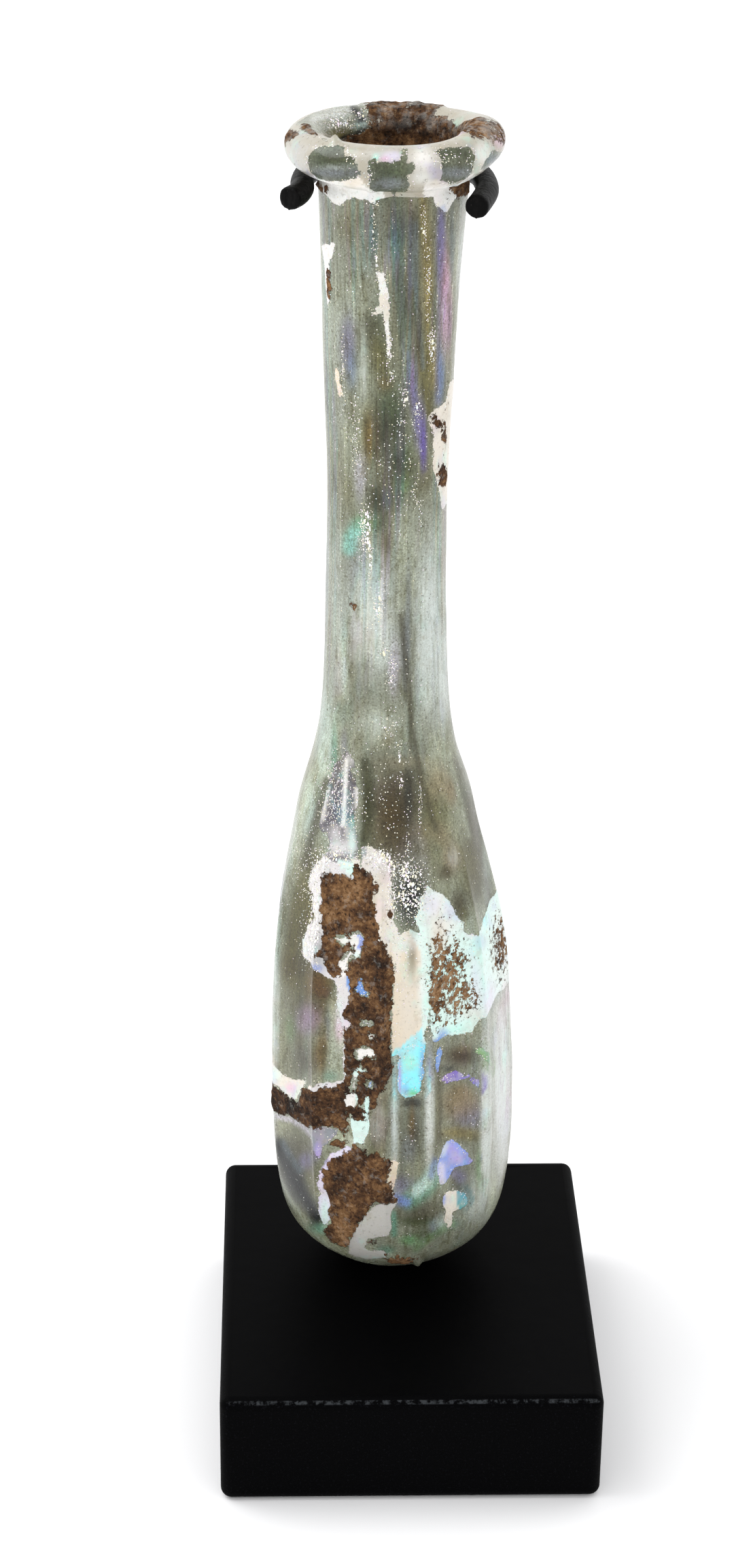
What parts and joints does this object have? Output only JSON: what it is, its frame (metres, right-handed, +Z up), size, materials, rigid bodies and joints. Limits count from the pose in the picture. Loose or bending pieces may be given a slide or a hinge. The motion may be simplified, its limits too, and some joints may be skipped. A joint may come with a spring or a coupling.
{
  "type": "roman glass unguentarium",
  "caption": "Long-necked glass flask with a pressed, fluted body and a thick rounded lip, held upright by a bent rod with a fork in a square block.",
  "frame": {"origin": "middle of the block's underside, on the surface that it stands on", "axes": "+Z up the bottle, -Y to the front that the picture shows, +X to the right of that view"},
  "size_m": [0.056, 0.063, 0.1961],
  "materials": {
    "weathered_glass": "grey-green weathered glass with brown crust, cream film and iridescent flakes",
    "black_rod": "satin black paint",
    "black_lacquer": "black lacquer, satin gloss, worn pale along the front edge"
  },
  "bodies": {
    "root": {"glass_bottle": "weathered_glass", "stand_rod_with_fork": "black_rod", "base_block": "black_lacquer"}
  },
  "joints": []
}
